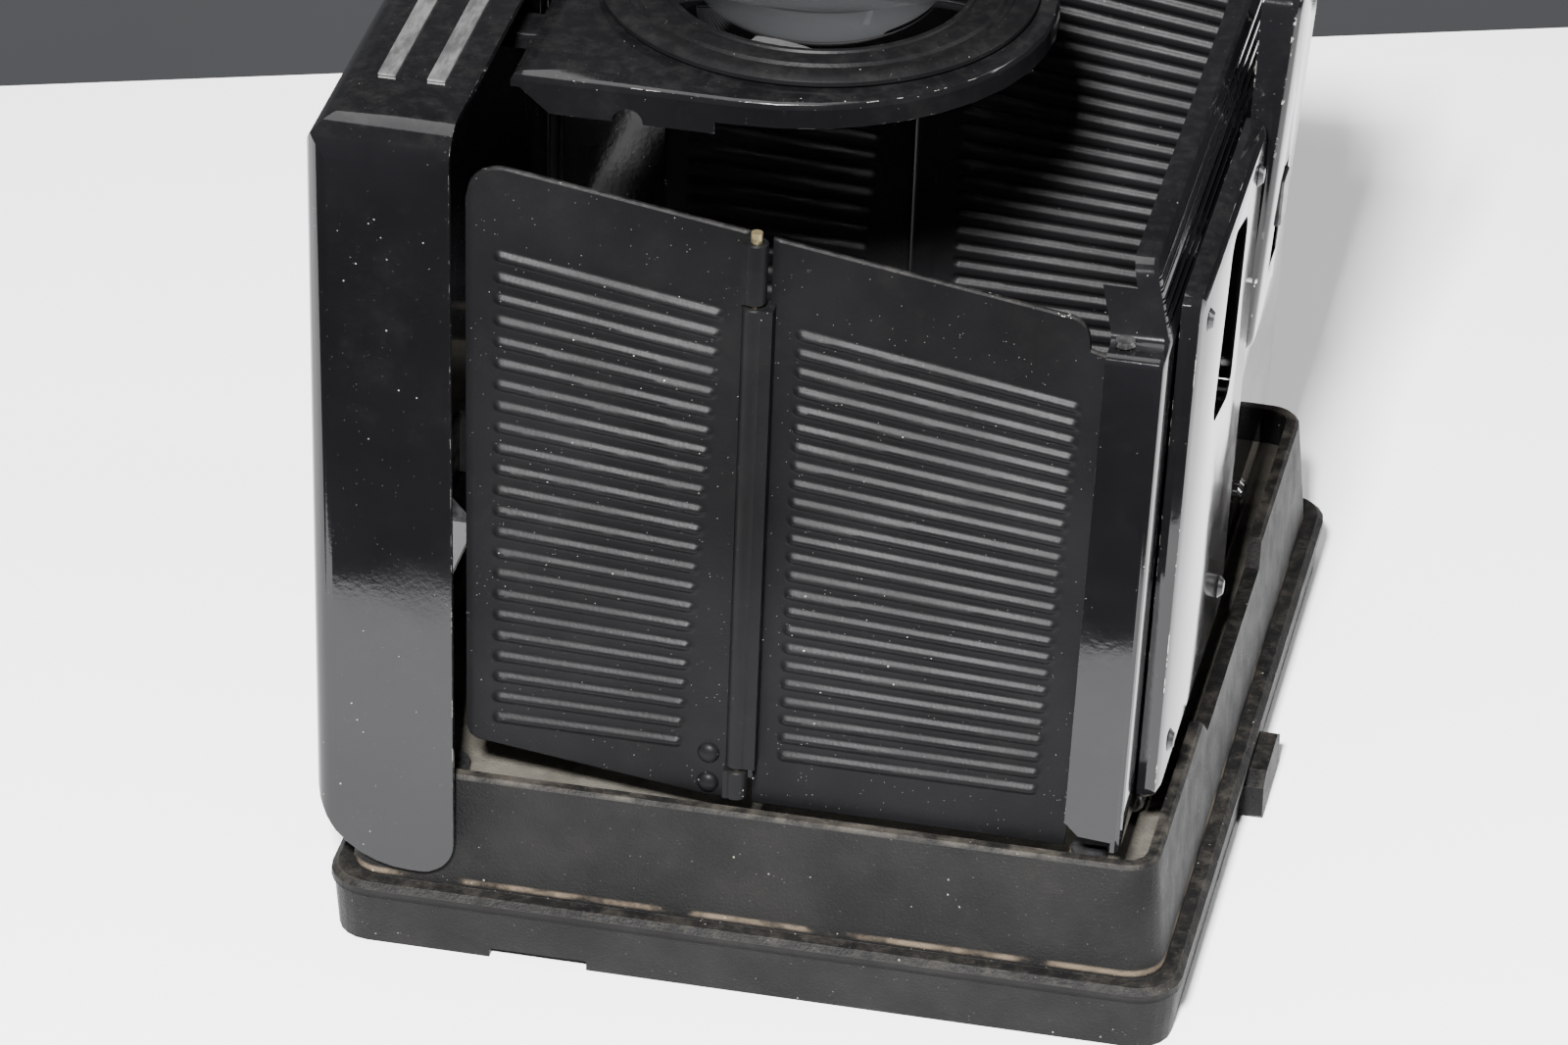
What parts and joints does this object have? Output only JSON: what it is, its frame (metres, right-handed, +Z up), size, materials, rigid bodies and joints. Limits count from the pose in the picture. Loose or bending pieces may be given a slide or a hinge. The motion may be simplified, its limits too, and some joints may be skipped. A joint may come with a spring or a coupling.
{
  "type": "folding waist-level finder hood",
  "caption": "Folding waist-level viewfinder hood, open, with ribbed folding side walls, a lid and a swing-out magnifier.",
  "frame": {"origin": "centre of the hood's bounding box, at the underside of the base", "axes": "+Z up, out of the camera body; +X from the lid side to the rear wall; +Y from the near side wall to the far one"},
  "size_m": [0.1, 0.11, 0.1028],
  "materials": {
    "cast_black": "matt, fine textured",
    "gloss_black": "gloss, worn edges",
    "satin_black": "satin",
    "black_steel": "blackened",
    "steel": "satin",
    "brass": "worn",
    "silver_trim": "brushed",
    "glass": "polished"
  },
  "bodies": {
    "base": {"base_frame": "cast_black", "base_screw_near_lid": "black_steel", "base_screw_far_lid": "black_steel", "base_screw_near_rear": "black_steel", "base_screw_far_rear": "black_steel", "rear_hinge_pin_near": "steel", "rear_hinge_pin_far": "steel", "rear_spring_near": "steel", "rear_spring_far": "steel", "lid_spring_near": "steel", "lid_spring_far": "steel"},
    "lid": {"lid_shell": "gloss_black", "lid_stripe_outer": "silver_trim", "lid_stripe_inner": "silver_trim", "lid_pivot_stud_near": "steel", "lid_pivot_stud_far": "steel", "magnifier_catch": "black_steel", "magnifier_bracket": "black_steel", "magnifier_pin": "steel", "bracket_rivet_near": "steel", "bracket_rivet_far": "steel", "magnifier_spring": "steel"},
    "magnifier": {"magnifier_plate": "gloss_black", "lens_retaining_ring": "satin_black", "lens_seat_ring": "satin_black", "magnifier_lens": "glass"},
    "rear": {"rear_wall": "gloss_black", "rear_raised_plate": "gloss_black", "catch_housing": "gloss_black", "catch_spring": "steel", "plate_rivet_1": "black_steel", "plate_rivet_2": "black_steel", "plate_rivet_3": "black_steel", "plate_rivet_4": "black_steel", "near_post_pin": "steel", "far_post_pin": "steel"},
    "slide": {"catch_slide": "black_steel"},
    "near_rear_half": {"near_rear_panel": "satin_black", "near_mid_pin": "brass"},
    "near_front_half": {"near_front_panel": "satin_black"},
    "far_rear_half": {"far_rear_panel": "satin_black", "far_mid_pin": "brass"},
    "far_front_half": {"far_front_panel": "satin_black"}
  },
  "joints": [
    {"name": "lid_fold", "type": "hinge", "parent": "base", "child": "lid", "pos_m": [-0.0405, 0, 0.012], "axis": [0, 1, 0], "range_deg": [0, 5]},
    {"name": "magnifier_fold", "type": "hinge", "parent": "lid", "child": "magnifier", "pos_m": [-0.046, 0, 0.095], "axis": [0, 1, 0], "range_deg": [0, 88], "stiffness_Nm_per_rad": 0.02, "springref_deg": -45.84},
    {"name": "rear_lean", "type": "hinge", "parent": "base", "child": "rear", "pos_m": [0.0389, 0, 0.0194], "axis": [0, -1, 0], "range_deg": [0, 0.5]},
    {"name": "catch_press", "type": "slide", "parent": "rear", "child": "slide", "axis": [0, 0, -1], "range_m": [0, 0.003], "stiffness_N_per_m": 150, "springref_m": -0.001},
    {"name": "near_rear_fold", "type": "hinge", "parent": "rear", "child": "near_rear_half", "pos_m": [0.03653, -0.0478, 0.05], "axis": [-0.0332, 0, -0.9995], "range_deg": [0, 86], "stiffness_Nm_per_rad": 0.002, "springref_deg": -5.73},
    {"name": "near_front_fold", "type": "hinge", "parent": "near_rear_half", "child": "near_front_half", "pos_m": [-0.00208, -0.05, 0.05], "axis": [0.0113, 0, 0.9999], "range_deg": [0, 172]},
    {"name": "far_rear_fold", "type": "hinge", "parent": "rear", "child": "far_rear_half", "pos_m": [0.03653, 0.0478, 0.05], "axis": [0.0332, 0, 0.9995], "range_deg": [0, 86], "stiffness_Nm_per_rad": 0.002, "springref_deg": -5.73},
    {"name": "far_front_fold", "type": "hinge", "parent": "far_rear_half", "child": "far_front_half", "pos_m": [-0.00208, 0.05, 0.05], "axis": [-0.0113, 0, -0.9999], "range_deg": [0, 172]}
  ],
  "couplings": [
    {"joint": "near_front_fold", "follows": "near_rear_fold", "ratio": 2},
    {"joint": "far_front_fold", "follows": "far_rear_fold", "ratio": 2}
  ]
}
